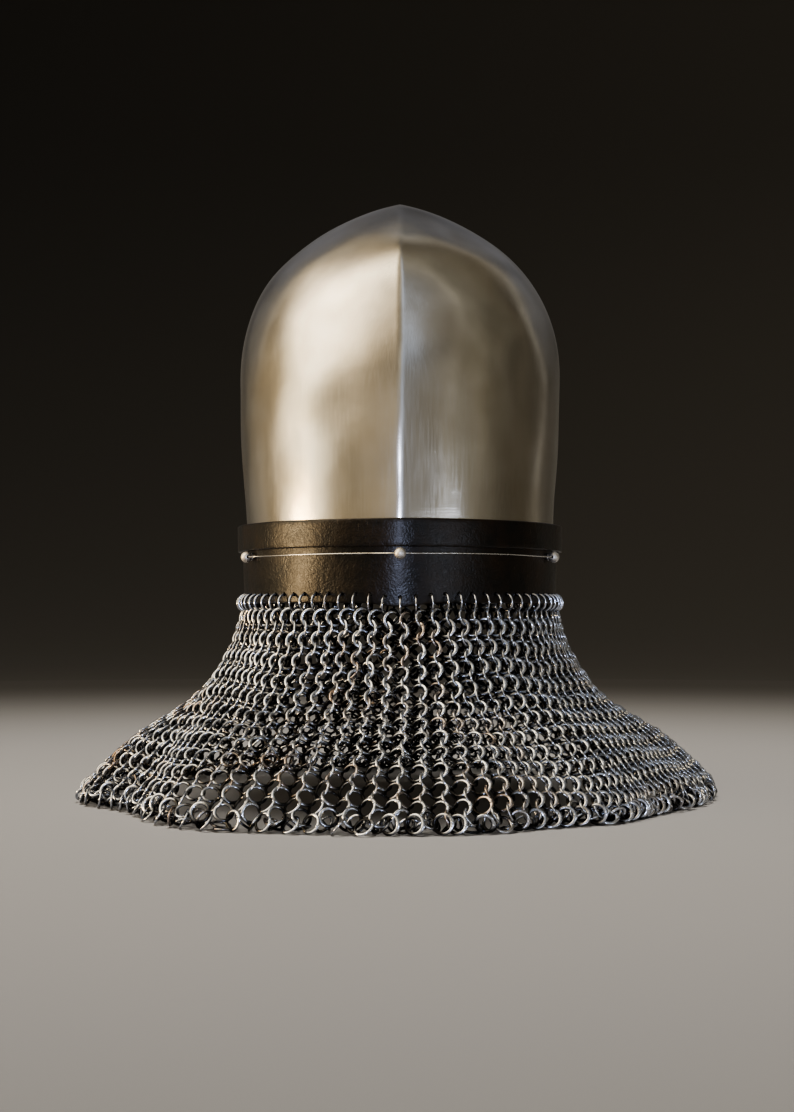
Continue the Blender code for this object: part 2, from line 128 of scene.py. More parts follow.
def splineThrough(table):
    # natural cubic spline through the rows of a table, for arrays of row numbers
    rows = np.array(table, float)
    last = len(rows) - 1
    bends = np.zeros_like(rows)
    system = 4 * np.eye(last - 1) + np.eye(last - 1, k=1) + np.eye(last - 1, k=-1)
    bends[1:-1] = np.linalg.solve(system, 6 * (rows[2:] - 2 * rows[1:-1] + rows[:-2]))

    def at(row):
        row = np.asarray(row, float)
        low = np.clip(row.astype(int), 0, last - 1)
        t = (row - low)[..., None]
        u = 1 - t
        ends = u * rows[low] + t * rows[low + 1]
        return ends + ((u**3 - u) * bends[low] + (t**3 - t) * bends[low + 1]) / 6

    return at


skullSection = splineThrough(head["sections"])
slopeAt = splineThrough(curtain["slope"])
fineRows = np.linspace(0, len(head["sections"]) - 1, 600)
fineHeights = skullSection(fineRows)[:, 0]


def skullPoint(turn, z):
    # on the +X half; turn runs from 0 at the middle of the face to 1 at the middle of the nape
    row = np.interp((z - head["rim"]) / head["height"], fineHeights, fineRows)
    section = skullSection(row)
    width, back, front, shift, keel = (section[..., i] for i in range(1, 6))
    half = head["halfWidth"] * np.maximum(width, 0) / (1 - keel)
    start = np.arccos(keel)
    angle = start * (2 * turn - 1)
    reach = np.where(angle > 0, head["backReach"] * back, head["frontReach"] * front)
    y = head["apexBack"] * shift + np.maximum(reach, 0) * np.sin(angle) / np.sin(start)
    return np.stack([half * (np.cos(angle) - keel), y, z + 0 * turn], -1)


def unit(vectors):
    return vectors / np.maximum(np.linalg.norm(vectors, axis=-1, keepdims=True), 1e-12)


def skullOutward(turn, z):
    step = 1e-3
    along = skullPoint(np.minimum(turn + step, 1), z) - skullPoint(np.maximum(turn - step, 0), z)
    up = skullPoint(turn, z + step * head["height"]) - skullPoint(turn, z - step * head["height"])
    normal = unit(np.cross(along, up))
    onKeel = (turn <= 0) | (turn >= 1)
    normal[..., 0] = np.where(onKeel, 0, normal[..., 0])
    return unit(normal)


studHeight = head["rim"] + stud["line"]
turns = np.linspace(0, 1, 800)
girthLine = skullPoint(turns, np.full(800, studHeight))
girths = np.concatenate([[0], np.cumsum(np.linalg.norm(np.diff(girthLine, axis=0), axis=1))])
nape = float(girths[-1])
jawGirth = face["halfWidth"] + face["jawRadius"]
jawTop = head["rim"] + face["jawRadius"]
cheekTop = jawTop + face["cheekEdge"]


def place(girth, z, lift=0.0):
    # girth is measured round the skull from the middle of the face
    girth, z = np.broadcast_arrays(np.asarray(girth, float), np.asarray(z, float))
    turn = np.interp(girth, girths, turns)
    return skullPoint(turn, z) + np.asarray(lift)[..., None] * skullOutward(turn, z)


def edgeStation(distance, offset=0.0):
    # (girth, z) on the skull's edge at a distance from the nape, moved in from the edge by offset
    rimRun = nape - jawGirth
    radius = face["jawRadius"] - offset
    sweep = radius * math.pi / 2
    if distance <= rimRun:
        return nape - distance, head["rim"] + offset
    if distance <= rimRun + sweep:
        angle = (distance - rimRun) / radius
        return jawGirth - radius * math.sin(angle), jawTop - radius * math.cos(angle)
    return face["halfWidth"] + offset, jawTop + distance - rimRun - sweep


def napeDip(girth):
    return band["napeDip"] * np.exp(-(((nape - girth) / band["napeDipWidth"]) ** 2))




def link(name, mesh):
    obj = bpy.data.objects.new(name, mesh)
    bpy.context.scene.collection.objects.link(obj)
    return obj


def arrayMesh(name, points, quads, attributes=None):
    mesh = bpy.data.meshes.new(name)
    mesh.vertices.add(len(points))
    mesh.vertices.foreach_set("co", np.asarray(points, np.float32).ravel())
    mesh.loops.add(quads.size)
    mesh.loops.foreach_set("vertex_index", quads.astype(np.int32).ravel())
    mesh.polygons.add(len(quads))
    mesh.polygons.foreach_set("loop_start", np.arange(0, quads.size, quads.shape[1], dtype=np.int32))
    mesh.update(calc_edges=True)
    for key, values in (attributes or {}).items():
        mesh.attributes.new(key, "FLOAT", "POINT").data.foreach_set("value", values.astype(np.float32))
    mesh.shade_smooth()
    return mesh


def gridQuads(rows, columns, closed=False):
    index = np.arange(rows * columns).reshape(rows, columns)
    if closed:
        index = np.vstack([index, index[:1]])
    a, b, c, d = index[:-1, :-1], index[:-1, 1:], index[1:, 1:], index[1:, :-1]
    return np.stack([a, b, c, d], -1).reshape(-1, 4)


def applied(obj, sharpDegrees):
    # the object with its modifiers made real
    bpy.context.view_layer.update()
    graph = bpy.context.evaluated_depsgraph_get()
    mesh = bpy.data.meshes.new_from_object(obj.evaluated_get(graph))
    obj.modifiers.clear()
    obj.data = mesh
    mesh.shade_smooth()
    mesh.set_sharp_from_angle(angle=math.radians(sharpDegrees))
    return obj


def addModifier(obj, kind, **settings):
    modifier = obj.modifiers.new(kind.lower(), kind)
    for key, value in settings.items():
        setattr(modifier, key, value)
    return modifier


def weld(mesh):
    bm = bmesh.new()
    bm.from_mesh(mesh)
    bmesh.ops.remove_doubles(bm, verts=bm.verts, dist=1e-7)
    bm.to_mesh(mesh)
    bm.free()
    return mesh



skullMesh = {
    "rows": 120,
    "columns": 96,
    "openingSteps": 28,
    "ridgeRise": 0.45 * mm,
    "ridgeReach": 5 * mm,
    "ridgeWorn": 2.6 * mm,
    "ridgeSlope": 0.2,
    "dentDepth": 0.34 * mm,
    "dentSizes": (26 * mm, 70 * mm),
    "dentCount": 14,
}


def ridge(distance):
    # the keel stands up a little from the bowl and its edge is worn round
    worn, slope = skullMesh["ridgeWorn"], skullMesh["ridgeSlope"]
    raised = skullMesh["ridgeRise"] * np.exp(-distance / skullMesh["ridgeReach"])
    return raised - slope * np.maximum(worn - distance, 0) ** 2 / (2 * worn)


def hammered(points):
    # shallow dents and swells that the planishing hammer leaves
    depth = np.zeros(points.shape[:-1])
    low, high = skullMesh["dentSizes"]
    for _ in range(skullMesh["dentCount"]):
        size = rng.uniform(low, high)
        wave = unit(rng.normal(0, 1, 3)) * 2 * math.pi / size
        depth += size / high * np.sin(points @ wave + rng.uniform(0, 2 * math.pi))
    return depth * skullMesh["dentDepth"] * math.sqrt(2 / skullMesh["dentCount"])


def faceOpening():
    points = []
    steps = skullMesh["openingSteps"]
    for i in range(1, steps + 1):
        angle = math.pi / 2 * i / steps
        points.append((jawGirth - face["jawRadius"] * math.sin(angle), jawTop - face["jawRadius"] * math.cos(angle)))
    for i in range(1, steps + 1):
        angle = math.pi / 2 * i / steps
        across = max(math.cos(angle), 0) ** (2 / face["browSquareness"])
        rise = math.sin(angle) ** (2 / face["browSquareness"])
        points.append((face["halfWidth"] * across, cheekTop + face["browRise"] * rise))
    right = [(float(place(girth, z)[0]), z) for girth, z in points]
    right.insert(0, (right[0][0], 0))
    left = [(-x, z) for x, z in reversed(right[:-1])]
    near, far = -2 * head["frontReach"], -0.15 * head["frontReach"]
    bm = bmesh.new()
    front = bm.faces.new([bm.verts.new((x, near, z)) for x, z in right + left])
    pushed = bmesh.ops.extrude_face_region(bm, geom=[front])["geom"]
    moved = [v for v in pushed if isinstance(v, bmesh.types.BMVert)]
    bmesh.ops.translate(bm, verts=moved, vec=(0, far - near, 0))
    bmesh.ops.recalc_face_normals(bm, faces=bm.faces)
    mesh = bpy.data.meshes.new("faceCutter")
    bm.to_mesh(mesh)
    bm.free()
    return link("faceCutter", mesh)


def buildSkull():
    nearRidge = np.array([0, 0.6, 1.2, 1.8, 2.6, 3.8, 5.4, 8.0]) * mm / nape
    inner = np.linspace(12 * mm / nape, 1 - 12 * mm / nape, skullMesh["columns"])
    columns = np.concatenate([nearRidge, inner, 1 - nearRidge[::-1]])
    rimRow = float(np.interp(0, fineHeights, fineRows))
    rows = np.linspace(rimRow, len(head["sections"]) - 1, skullMesh["rows"])
    heights = head["rim"] + head["height"] * skullSection(rows)[:, 0]
    heights[-1] = head["rim"] + head["height"]
    turn, z = np.meshgrid(columns, heights, indexing="ij")
    half = skullPoint(turn, z)
    out = skullOutward(turn, z)
    half[(0, -1), :, 0] = 0
    half += out * ridge(half[..., 0])[..., None]
    flip = np.array([-1, 1, 1])
    points = np.concatenate([half, half[-2:0:-1] * flip])
    out = np.concatenate([out, out[-2:0:-1] * flip])
    points[:, :-1] += (out * hammered(points)[..., None])[:, :-1]
    points[:, -1] = skullPoint(np.array(1.0), np.array(heights[-1]))
    mesh = arrayMesh("skullSteel", points.reshape(-1, 3), gridQuads(*points.shape[:2], closed=True)[:, ::-1])
    obj = link("skullSteel", weld(mesh))
    addModifier(obj, "SOLIDIFY", thickness=head["steel"], offset=-1, use_even_offset=True)
    cutter = faceOpening()
    addModifier(obj, "BOOLEAN", object=cutter, operation="DIFFERENCE")
    addModifier(obj, "BEVEL", width=0.4 * mm, segments=2, limit_method="ANGLE", angle_limit=math.radians(50))
    applied(obj, 50)
    bpy.data.objects.remove(cutter)
    return obj


def ribbon(name, offsets, lift, thickness, rounding, dips=False):
    rimCount, arcCount, cheekCount = 96, 26, 16
    stations = []
    for i in range(rimCount):
        girth = nape - (nape - jawGirth) * i / rimCount
        stations.append([(girth, head["rim"] + off) for off in offsets])
    for i in range(arcCount):
        angle = math.pi / 2 * i / arcCount
        stations.append([
            (
                jawGirth - (face["jawRadius"] - off) * math.sin(angle),
                jawTop - (face["jawRadius"] - off) * math.cos(angle),
            )
            for off in offsets
        ])
    for i in range(cheekCount + 1):
        stations.append([(face["halfWidth"] + off, jawTop + face["cheekEdge"] * i / cheekCount) for off in offsets])
    stations = np.array(stations)
    girth, z = stations[..., 0], stations[..., 1].copy()
    if dips:
        share = np.linspace(1, 0, len(offsets)) ** 3
        z -= np.where(z <= head["rim"] + 0.1 * mm, napeDip(girth), napeDip(girth) * share)
    run = np.arange(len(stations))[:, None]
    wave = band["sag"] * (np.sin(run * 0.31 + z * 90) + 0.6 * np.sin(run * 0.13 + 1.7))
    overKeel = np.maximum(1 - (nape - girth) / band["keelRounding"], 0) ** 2
    points = place(girth, z, lift + 0.4 * wave - 0.42 * mm * overKeel)
    points[0, :, 0] = 0
    obj = link(name, arrayMesh(name, points.reshape(-1, 3), gridQuads(*girth.shape)))
    addModifier(obj, "MIRROR", merge_threshold=1e-5, use_clip=True)
    addModifier(obj, "SOLIDIFY", thickness=thickness, offset=-1, use_even_offset=True)
    addModifier(obj, "BEVEL", width=rounding, segments=3, limit_method="ANGLE", angle_limit=math.radians(60))
    return obj


hanger = {"spacing": 8.7 * mm, "hole": 1.35 * mm, "holeInset": 5.4 * mm, "radius": 5.1 * mm, "wire": 0.88 * mm}
loop = 2 * nape
ringsRound = round(loop / hanger["spacing"])
leatherLift = band["fitGap"] + band["thickness"]
strapLift = leatherLift + band["fitGap"] + band["strapThickness"]
ballLift = leatherLift + stud["clearance"] + stud["ball"]


def hangerStations():
    # girth, z and direction across the band of each hole, on both sides
    inset = -band["overhang"] + hanger["holeInset"]
    rimRun = nape - jawGirth
    freeTop = head["rim"] + curtain["chinHeight"]
    radius = face["jawRadius"] - inset
    sweepEnd = math.acos((jawTop - freeTop) / (face["jawRadius"] + band["overhang"])) * 0.96
    end = rimRun + sweepEnd * radius
    step = loop / ringsRound
    found = []
    for i in range(int(end / step) + 1):
        distance = i * step
        girth, z = edgeStation(distance, inset)
        before, after = edgeStation(distance, inset - 1 * mm), edgeStation(distance, inset + 1 * mm)
        if rimRun < distance:
            angle = (distance - rimRun) / radius
            across = (-math.sin(angle), -math.cos(angle))
        else:
            across = (0.0, -1.0)
        for side in (1, -1) if 0 < i else (1,):
            found.append((side, girth, z - float(napeDip(girth)), across))
    return found


def stationFrame(side, girth, z, across, lift):
    # point and axes on the skull's surface: outward, across the band towards its outer edge, along the band
    turn = np.interp(girth, girths, turns)
    point = place(girth, z, lift)
    outward = skullOutward(np.array(turn), np.array(z))
    step = 1 * mm
    ahead = place(girth + across[0] * step, z + across[1] * step, lift)
    down = unit(ahead - point)
    along = np.cross(down, outward)
    flip = np.array([side, 1, 1])
    return point * flip, outward * flip, down * flip, along * flip * side


def buildLeather():
    offsets = np.concatenate([[-band["overhang"]], np.linspace(-band["overhang"] + 2 * mm, band["onSkull"], 14)])
    obj = ribbon("leatherBand", offsets, leatherLift, band["thickness"], band["edgeRounding"], dips=True)
    bm = bmesh.new()
    for side, girth, z, across in hangerStations():
        point, outward, _, _ = stationFrame(side, girth, z, across, leatherLift - band["thickness"] / 2)
        turned = Vector(outward).to_track_quat("Z", "Y").to_matrix().to_4x4()
        bmesh.ops.create_cone(
            bm, cap_ends=True, segments=12, radius1=hanger["hole"], radius2=hanger["hole"], depth=8 * mm,
            matrix=Matrix.Translation(point) @ turned,
        )
    mesh = bpy.data.meshes.new("holeCutter")
    bm.to_mesh(mesh)
    bm.free()
    cutter = link("holeCutter", mesh)
    addModifier(obj, "BOOLEAN", object=cutter, operation="DIFFERENCE")
    applied(obj, 40)
    bpy.data.objects.remove(cutter)
    return obj


def buildStrap():
    low = band["onSkull"] - band["strapWidth"]
    offsets = np.linspace(low, band["onSkull"], 7)
    return applied(ribbon("strapLeather", offsets, strapLift, band["strapThickness"], 0.8 * mm), 40)




def studFrames():
    frames = []
    for name, distance in zip(("nape", "side", "cheek", "temple"), stud["spacing"]):
        girth, z = edgeStation(distance, stud["line"])
        before = edgeStation(max(distance - 2 * mm, 0), stud["line"])
        after = edgeStation(distance + 2 * mm, stud["line"])
        turn = np.interp(girth, girths, turns)
        up = Vector(skullOutward(np.array(turn), np.array(z)))
        along = Vector(place(*after) - place(*before)) if distance else Vector((1, 0, 0))
        along = (along - along.dot(up) * up).normalized()
        axes = Matrix((along, up.cross(along), up)).transposed().to_4x4()
        made = Matrix.Translation(Vector(place(girth, z))) @ axes
        if distance:
            turned = Matrix.Scale(-1, 4, (1, 0, 0)) @ made @ Matrix.Scale(-1, 4, (0, 1, 0))
            frames += [(f"{name}_left", made), (f"{name}_right", turned)]
        else:
            frames.append((name, made))
    return frames


def studMesh():
    bm = bmesh.new()
    bmesh.ops.create_uvsphere(bm, u_segments=32, v_segments=20, radius=stud["ball"], matrix=Matrix.Translation((0, 0, ballLift)))
    ball = bpy.data.meshes.new("ball")
    bm.to_mesh(ball)
    bm.free()
    pieces = [link("ball", ball)]
    across = Matrix.Translation((0, 0, ballLift)) @ Matrix.Rotation(math.pi / 2, 4, "Y")
    parts = (
        ("UNION", stud["shank"], -head["steel"] - 1.3 * mm, ballLift - 0.75 * stud["ball"], Matrix.Identity(4)),
        ("UNION", 3.0 * mm, -head["steel"] - 1.9 * mm, -head["steel"] - 0.7 * mm, Matrix.Identity(4)),
        ("UNION", 2.3 * mm, leatherLift + 0.05 * mm, leatherLift + 0.75 * mm, Matrix.Identity(4)),
        ("DIFFERENCE", stud["eye"], -8 * mm, 8 * mm, across),
    )
    for operation, radius, low, high, matrix in parts:
        bm = bmesh.new()
        bmesh.ops.create_cone(
            bm, cap_ends=True, segments=24, radius1=radius, radius2=radius, depth=high - low,
            matrix=matrix @ Matrix.Translation((0, 0, (low + high) / 2)),
        )
        mesh = bpy.data.meshes.new("studPart")
        bm.to_mesh(mesh)
        bm.free()
        pieces.append(link("studPart", mesh))
        addModifier(pieces[0], "BOOLEAN", object=pieces[-1], operation=operation)
    addModifier(pieces[0], "BEVEL", width=0.15 * mm, segments=2, limit_method="ANGLE", angle_limit=math.radians(50))
    applied(pieces[0], 50)
    mesh = pieces[0].data
    for piece in pieces:
        bpy.data.objects.remove(piece)
    return mesh


def buildStuds(frames):
    mesh = studMesh()
    made = []
    for name, matrix in frames:
        obj = link("stud_" + name, mesh.copy())
        obj.data.transform(matrix)
        if matrix.determinant() < 0:
            obj.data.flip_normals()
        made.append((obj, "vervelle_" + name))
    return made


def wireLift(distance):
    low = leatherLift + stud["clearance"] + stud["wireRadius"]
    nearest = min(abs(distance - at) for at in stud["spacing"])
    share = min(max((nearest - stud["wireStraight"]) / stud["wireRise"], 0), 1)
    return ballLift + (low - ballLift) * share * share * (3 - 2 * share)


def buildWire(frames):
    # straight through each eye; between the studs it lies a little unevenly, as hand-bent wire does
    eyes = [matrix for name, matrix in frames if not name.endswith("right")]
    half = []
    for matrix, at, following in zip(eyes, stud["spacing"], (*stud["spacing"][1:], None)):
        for side in (-1, 1):
            if at or side > 0:
                half.append(matrix @ Vector((side * stud["wireStraight"], 0, ballLift)))
        if following is None:
            half.append(matrix @ Vector((stud["wireStraight"] + stud["wireTail"], 0, ballLift)))
            continue
        start, stop = at + stud["wireStraight"], following - stud["wireStraight"]
        count = round((stop - start) / (4 * mm))
        for i in range(1, count):
            distance = start + (stop - start) * i / count
            girth, z = edgeStation(distance, stud["line"])
            half.append(Vector(place(girth, z, wireLift(distance))))
    points = [Vector((-p.x, p.y, p.z)) for p in reversed(half)] + half
    bends = np.cumsum(rng.normal(0, 1, len(points)))
    bends = np.convolve(bends - bends.mean(), np.ones(9) / 9, "same")
    curve = bpy.data.curves.new("lacingWire", "CURVE")
    curve.dimensions = "3D"
    curve.bevel_depth = stud["wireRadius"]
    curve.bevel_resolution = 3
    curve.use_fill_caps = True
    spline = curve.splines.new("NURBS")
    spline.points.add(len(points) - 1)
    spline.order_u = 3
    spline.use_endpoint_u = True
    for target, point, bend in zip(spline.points, points, bends):
        near = min((point - matrix.translation).xy.length for _, matrix in frames)
        swing = 0.10 * mm * bend * min(max((near - 8 * mm) / (20 * mm), 0), 1)
        target.co = (point.x, point.y, point.z + min(max(swing, -0.7 * mm), 0.5 * mm), 1)
    wire = link("wireCurve", curve)
    bpy.context.view_layer.update()
    mesh = bpy.data.meshes.new_from_object(wire.evaluated_get(bpy.context.evaluated_depsgraph_get()))
    bpy.data.objects.remove(wire)
    obj = link("lacingWire", mesh)
    mesh.shade_smooth()
    mesh.set_sharp_from_angle(angle=math.radians(50))
    return obj



mail = {
    "ringRadius": 5.05 * mm,
    "wireRadius": 1.02 * mm,
    "flatness": 0.70,
    "lapWidening": 0.5,
    "sizeSpread": 0.02,
    "lean": 31,
    "leanSpread": 3,
    "topPitch": 8.7 * mm,
    "hemPitch": 10.6 * mm,
    "rowPitchTop": 6.75 * mm,
    "rowPitchHem": 6.35 * mm,
    "firstRow": 8.0 * mm,
    "segments": 20,
    "sides": 6,
    "looseRows": 2,
    "bulge": 1.3 * mm,
    "turnedUnder": (2.5 * mm, 9 * mm),
}

curtainTop = head["rim"] - band["overhang"] - curtain["gap"]
mailLift = band["fitGap"] + band["thickness"] / 2


def hemReach(bearing):
    # smooth through the folds and round the loop
    table = np.array(curtain["folds"], float)
    count = len(table)
    bearing = np.mod(bearing, 360)
    after = np.searchsorted(table[:, 0], bearing, side="right")
    angles = [table[(after + k) % count, 0] + (after + k) // count * 360 for k in (-2, -1, 0, 1)]
    a, b, c, d = (table[(after + k) % count, 1] for k in (-2, -1, 0, 1))
    span = angles[2] - angles[1]
    t = (bearing - angles[1]) / span
    slopeB = (c - a) * span / (angles[2] - angles[0])
    slopeC = (d - b) * span / (angles[3] - angles[1])
    rest = (1 - t) ** 2 * (b * (1 + 2 * t) + t * slopeB)
    return curtain["reach"] * (rest + t * t * (c * (3 - 2 * t) + (t - 1) * slopeC))


def buildCurtainGrid():
    # points down the slope at even shares of its length, for columns all round the loop
    columns, shares = 480, 240
    v = loop * np.arange(columns) / columns
    side = np.where(v < nape, 1, -1)
    girth = np.abs(nape - v)
    top = curtainTop - napeDip(girth)
    upper = place(girth, top, mailLift)
    upper[:, 0] *= side
    bearing = np.arctan2(upper[:, 0], upper[:, 1])
    reach = hemReach(np.degrees(bearing))
    hem = np.stack([reach * np.sin(bearing), reach * np.cos(bearing)], -1)
    row = np.linspace(0, len(curtain["slope"]) - 1, 400)
    drop, out = slopeAt(row)[:, 0], slopeAt(row)[:, 1]
    path = np.zeros((columns, 400, 3))
    path[..., :2] = upper[:, None, :2] + (hem - upper[:, :2])[:, None] * out[None, :, None]
    path[..., 2] = top[:, None] * (1 - drop)[None]
    runs = np.concatenate(
        [np.zeros((columns, 1)), np.cumsum(np.linalg.norm(np.diff(path, axis=1), axis=2), axis=1)], axis=1
    )
    even = np.zeros((columns, shares + 1, 3))
    for k in range(columns):
        wanted = runs[k, -1] * np.linspace(0, 1, shares + 1)
        for axis in range(3):
            even[k, :, axis] = np.interp(wanted, runs[k], path[k, :, axis])
    return even, float(runs[:, -1].mean())


grid, slopeLength = buildCurtainGrid()


def curtainPoint(v, s):
    # v runs round the loop from the nape, s down the slope; above the slope the mail follows the skull's own line
    columns, shares = grid.shape[0], grid.shape[1] - 1
    x = np.mod(v, loop) / loop * columns
    y = np.clip(s / slopeLength, 0, 1) * shares
    x0, y0 = x.astype(int) % columns, np.minimum(y.astype(int), shares - 1)
    x1, y1 = (x0 + 1) % columns, y0 + 1
    fx, fy = (x - np.floor(x))[..., None], (y - y0)[..., None]
    low = grid[x0, y0] * (1 - fx) + grid[x1, y0] * fx
    high = grid[x0, y1] * (1 - fx) + grid[x1, y1] * fx
    point = low * (1 - fy) + high * fy
    wrapped = np.mod(v, loop)
    above = place(np.abs(nape - wrapped), curtainTop - np.minimum(s, 0), mailLift)
    above[..., 0] *= np.where(wrapped < nape, 1, -1)
    return np.where((s < 0)[..., None], above, point)


def curtainFrame(v, s):
    # point, outward, downward and sideways directions
    step = 1.2 * mm
    low = np.where(s < 0, s - step, np.clip(s - step, 0, slopeLength - 2 * step))
    point = curtainPoint(v, s)
    down = unit(curtainPoint(v, low + 2 * step) - curtainPoint(v, low))
    along = unit(curtainPoint(v + 2 * step, s) - curtainPoint(v - 2 * step, s))
    outward = unit(np.cross(along, down))
    return point, outward, down, unit(np.cross(down, outward))


def floorFrame(v, past):
    # the hem turned under: a row on the floor, this far in from the hem
    edge = curtainPoint(v, np.full(len(v), slopeLength))
    inwards = -unit(edge * np.array([1, 1, 0]))
    up = np.broadcast_to([0.0, 0.0, 1.0], edge.shape)
    point = edge * np.array([1, 1, 0]) + inwards * (past + 4 * mm)[:, None] + up * 1.5 * mm
    return point, up, inwards, np.cross(inwards, up)


def rowSteps():
    steps = [mail["firstRow"]]
    end = slopeLength - 4.4 * mm
    while steps[-1] < end:
        share = steps[-1] / slopeLength
        steps.append(steps[-1] + mail["rowPitchTop"] + (mail["rowPitchHem"] - mail["rowPitchTop"]) * share)
    stretch = (end - steps[0]) / (steps[-1] - steps[0])
    return [steps[0] + (s - steps[0]) * stretch for s in steps]


def rowLength(s):
    v = loop * np.arange(240) / 240
    points = curtainPoint(v, np.full(240, s))
    return float(np.linalg.norm(points - np.roll(points, 1, axis=0), axis=1).sum())


def even(places, rounds):
    # eases crowded places apart, round the loop
    for _ in range(rounds):
        before = np.concatenate([[places[-1] - loop], places[:-1]])
        after = np.concatenate([places[1:], [places[0] + loop]])
        places = places + 0.25 * (before + after - 2 * places)
    return places


def mailRows():
    # (places round the loop, distance down the slope, leaning side) of each row, from the chin's edge to the hem
    steps = rowSteps()
    count = ringsRound
    places = loop * (np.arange(count) + 0.5) / count
    first = places
    rows = []
    for i, s in enumerate(steps):
        if i:
            after = np.concatenate([places[1:], [places[0] + loop]])
            places = (places + after) / 2
            pitch = mail["topPitch"] + (mail["hemPitch"] - mail["topPitch"]) * s / slopeLength
            extra = max(round(rowLength(s) / pitch) - len(places), 0)
            if extra:
                starts = (np.arange(extra) + rng.uniform(0.1, 0.9, extra)) / extra * len(places)
                chosen = np.unique(starts.astype(int) % len(places))
                gaps = np.concatenate([places[1:], [places[0] + loop]]) - places
                places = np.sort(np.concatenate([places, places[chosen] + gaps[chosen] / 2]))
            places = even(places, 4)
        rows.append((places, s, 1 if i % 2 == 0 else -1))
    for i, past in enumerate(mail["turnedUnder"]):
        after = np.concatenate([places[1:], [places[0] + loop]])
        places = (places + after) / 2
        rows.append((places, slopeLength + past, 1 if (len(steps) + i) % 2 == 0 else -1))
    above = []
    places = first
    for k in range(1, 8):
        places = places + (loop / count / 2 if k % 2 else -loop / count / 2)
        s = steps[0] - k * mail["rowPitchTop"]
        girth = np.abs(nape - np.mod(places, loop))
        z = curtainTop - s
        fromJaw = np.hypot(girth - jawGirth, z - jawTop)
        freeEdge = head["rim"] + curtain["chinHeight"] - curtain["chinSag"] * np.clip(1 - (girth / (40 * mm)) ** 2, 0, 1)
        keep = (girth < jawGirth) & (fromJaw > face["jawRadius"] + band["overhang"] + 6.0 * mm)
        keep &= z + mail["ringRadius"] < freeEdge + 1 * mm
        if s > -1 * mm:
            keep = (girth < jawGirth) & (fromJaw > face["jawRadius"] + band["overhang"] + 6.0 * mm)
        if keep.any():
            above.append((places[keep], s, -1 if k % 2 else 1))
    return above[::-1] + rows


def ringArrays(centre, normal, down, across, outward, radius, wire, rivetAngle, tint):
    # vertex arrays of many rings at once; a riveted ring widens and flattens at its lap
    major = np.linspace(0, 2 * math.pi, mail["segments"], endpoint=False)
    minor = np.linspace(0, 2 * math.pi, mail["sides"], endpoint=False)
    turn = major[None, :, None]
    gap = np.angle(np.exp(1j * (turn - rivetAngle[:, None, None])))
    lap = np.where(np.isnan(gap), 0, np.exp(-((np.nan_to_num(gap) / 0.30) ** 2)))
    wide = wire[:, None, None] * (1 + mail["lapWidening"] * lap)
    thick = wire[:, None, None] * mail["flatness"] * (1 - 0.1 * lap)
    outwards = np.cos(minor)[None, None] * wide
    sideways = np.sin(minor)[None, None] * thick
    reach = radius[:, None, None] + outwards
    spoke = np.cos(turn)[..., None] * down[:, None, None] + np.sin(turn)[..., None] * across[:, None, None]
    points = centre[:, None, None] + reach[..., None] * spoke + sideways[..., None] * normal[:, None, None]
    # how far each point lies towards the ring's inner side; the material paints shade from this, darker the further in
    outness = ((points - centre[:, None, None]) * outward[:, None, None]).sum(-1) / (0.5 * radius)[:, None, None]
    paintedShadeDepth = np.clip(0.5 - 0.5 * outness, 0, 1)
    count = len(centre)
    ring = np.arange(mail["segments"] * mail["sides"]).reshape(mail["segments"], mail["sides"])
    right, up = np.roll(ring, -1, axis=1), np.roll(ring, -1, axis=0)
    corner = np.roll(right, -1, axis=0)
    quads = np.stack([ring, up, corner, right], -1).reshape(-1, 4)
    quads = quads[None] + (np.arange(count) * ring.size)[:, None, None]
    return points.reshape(-1, 3), quads.reshape(-1, 4), np.repeat(tint, ring.size), paintedShadeDepth.ravel()


def rivetArrays(centre, normal, down, across, outward, radius, wire, rivetAngle, tint):
    # a small dome on each lap
    sides, levels = 8, 3
    around = np.linspace(0, 2 * math.pi, sides, endpoint=False)
    size = 0.80 * mm
    spoke = np.cos(rivetAngle)[:, None] * down + np.sin(rivetAngle)[:, None] * across
    tangent = np.cross(normal, spoke)
    base = centre + radius[:, None] * spoke + normal * (wire * 0.5)[:, None]
    points = []
    for level in range(levels):
        angle = math.pi / 2 * level / (levels - 0.4)
        flat = size * math.cos(angle)
        rise = 0.75 * size * math.sin(angle)
        circle = np.cos(around)[None, :, None] * spoke[:, None] + np.sin(around)[None, :, None] * tangent[:, None]
        points.append(base[:, None] + flat * circle + rise * normal[:, None])
    points = np.stack(points, 1)
    count = len(centre)
    ring = np.arange(levels * sides).reshape(levels, sides)
    quads = []
    for level in range(levels - 1):
        a, b = ring[level], np.roll(ring[level], -1)
        c, d = np.roll(ring[level + 1], -1), ring[level + 1]
        quads.append(np.stack([a, b, c, d], -1))
    top = ring[-1]
    quads.append(np.array([[top[0], top[1], top[2], top[3]], [top[0], top[3], top[4], top[7]], [top[4], top[5], top[6], top[7]]]))
    quads = np.concatenate(quads)
    quads = quads[None] + (np.arange(count) * levels * sides)[:, None, None]
    spots = points.reshape(-1, 3)
    return spots, quads.reshape(-1, 4), np.repeat(tint, levels * sides), np.zeros(len(spots))


def joined(name, parts):
    starts = np.cumsum([0] + [len(part[0]) for part in parts])
    quads = np.concatenate([part[1] + start for part, start in zip(parts, starts)])
    points, tint, paintedShadeDepth = (np.concatenate([part[i] for part in parts]) for i in (0, 2, 3))
    return link(name, arrayMesh(name, points, quads, {"ringTint": tint, "ringPaintedShade": paintedShadeDepth}))


def rotated(vectors, axis, angle):
    c, s = np.cos(angle)[:, None], np.sin(angle)[:, None]
    return vectors * c + np.cross(axis, vectors) * s + axis * (vectors * axis).sum(-1, keepdims=True) * (1 - c)


